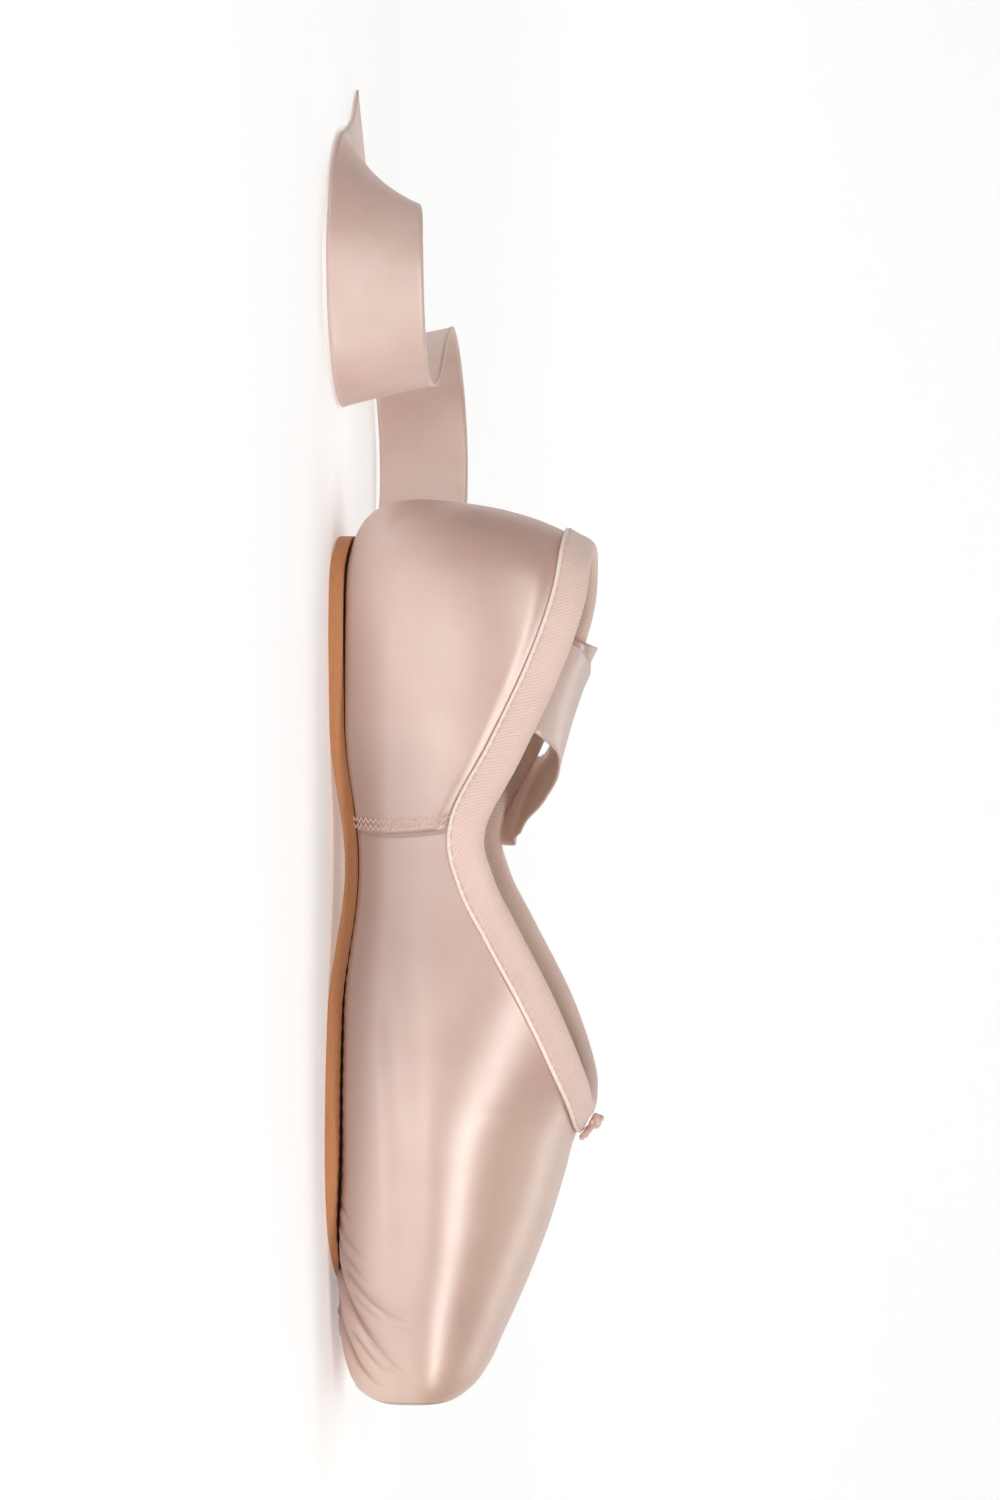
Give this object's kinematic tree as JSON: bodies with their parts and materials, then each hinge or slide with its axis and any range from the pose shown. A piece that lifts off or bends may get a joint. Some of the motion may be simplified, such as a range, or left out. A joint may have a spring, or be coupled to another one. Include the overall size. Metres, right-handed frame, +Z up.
{
  "type": "pointe shoe",
  "caption": "Satin pointe shoe with a stiff box and platform, casing round the topline, drawstring knot, ribbons and a leather sole, standing empty on its sole.",
  "frame": {"origin": "on the floor under the middle of the shoe's length and width, without the ribbons", "axes": "+X towards the toe, +Z up, +Y to the side that the ribbons fall on"},
  "size_m": [0.3498, 0.1726, 0.0696],
  "materials": {
    "satin": "satin",
    "casing": "ribbed cotton casing",
    "sole_leather": "smooth leather with a brown edge",
    "insole_board": "matt lining",
    "ribbon_satin": "thin satin ribbon"
  },
  "bodies": {
    "root": {"upper": "satin", "outsole": "sole_leather", "insole": "insole_board", "binding": "casing", "drawstring_knot": "casing", "ribbon_near": "ribbon_satin", "ribbon_far": "ribbon_satin"}
  },
  "joints": []
}
